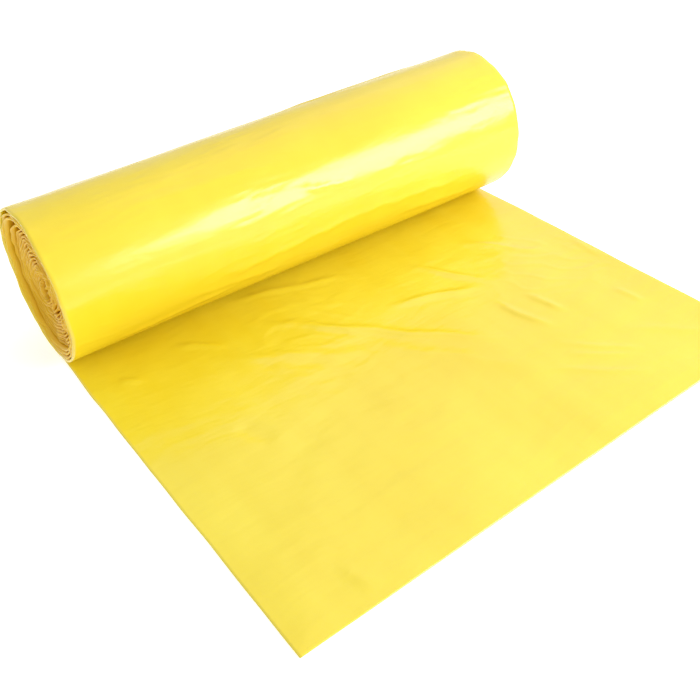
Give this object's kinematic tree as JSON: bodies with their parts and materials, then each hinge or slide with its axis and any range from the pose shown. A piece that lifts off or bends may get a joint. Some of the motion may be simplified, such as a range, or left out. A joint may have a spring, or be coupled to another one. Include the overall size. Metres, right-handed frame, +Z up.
{
  "type": "roll of garbage bags",
  "caption": "Coreless roll of thin plastic garbage bags, wound on itself and lying on its own film, with the start of the first bag unrolled flat in front of it.",
  "frame": {"origin": "On the supporting surface, at the middle of the footprint of the roll and its laid film.", "axes": "+X runs along the roll towards its slightly thicker end, +Y points from the laid film to the back of the roll, +Z is up."},
  "size_m": [0.301, 0.2728, 0.0899],
  "materials": {
    "wound_film": "glossy translucent polyethylene film, wound in many turns",
    "laid_film": "glossy translucent polyethylene film, a few plies lying flat"
  },
  "bodies": {
    "root": {"bag_roll": "wound_film", "leading_bag": "laid_film"}
  },
  "joints": []
}
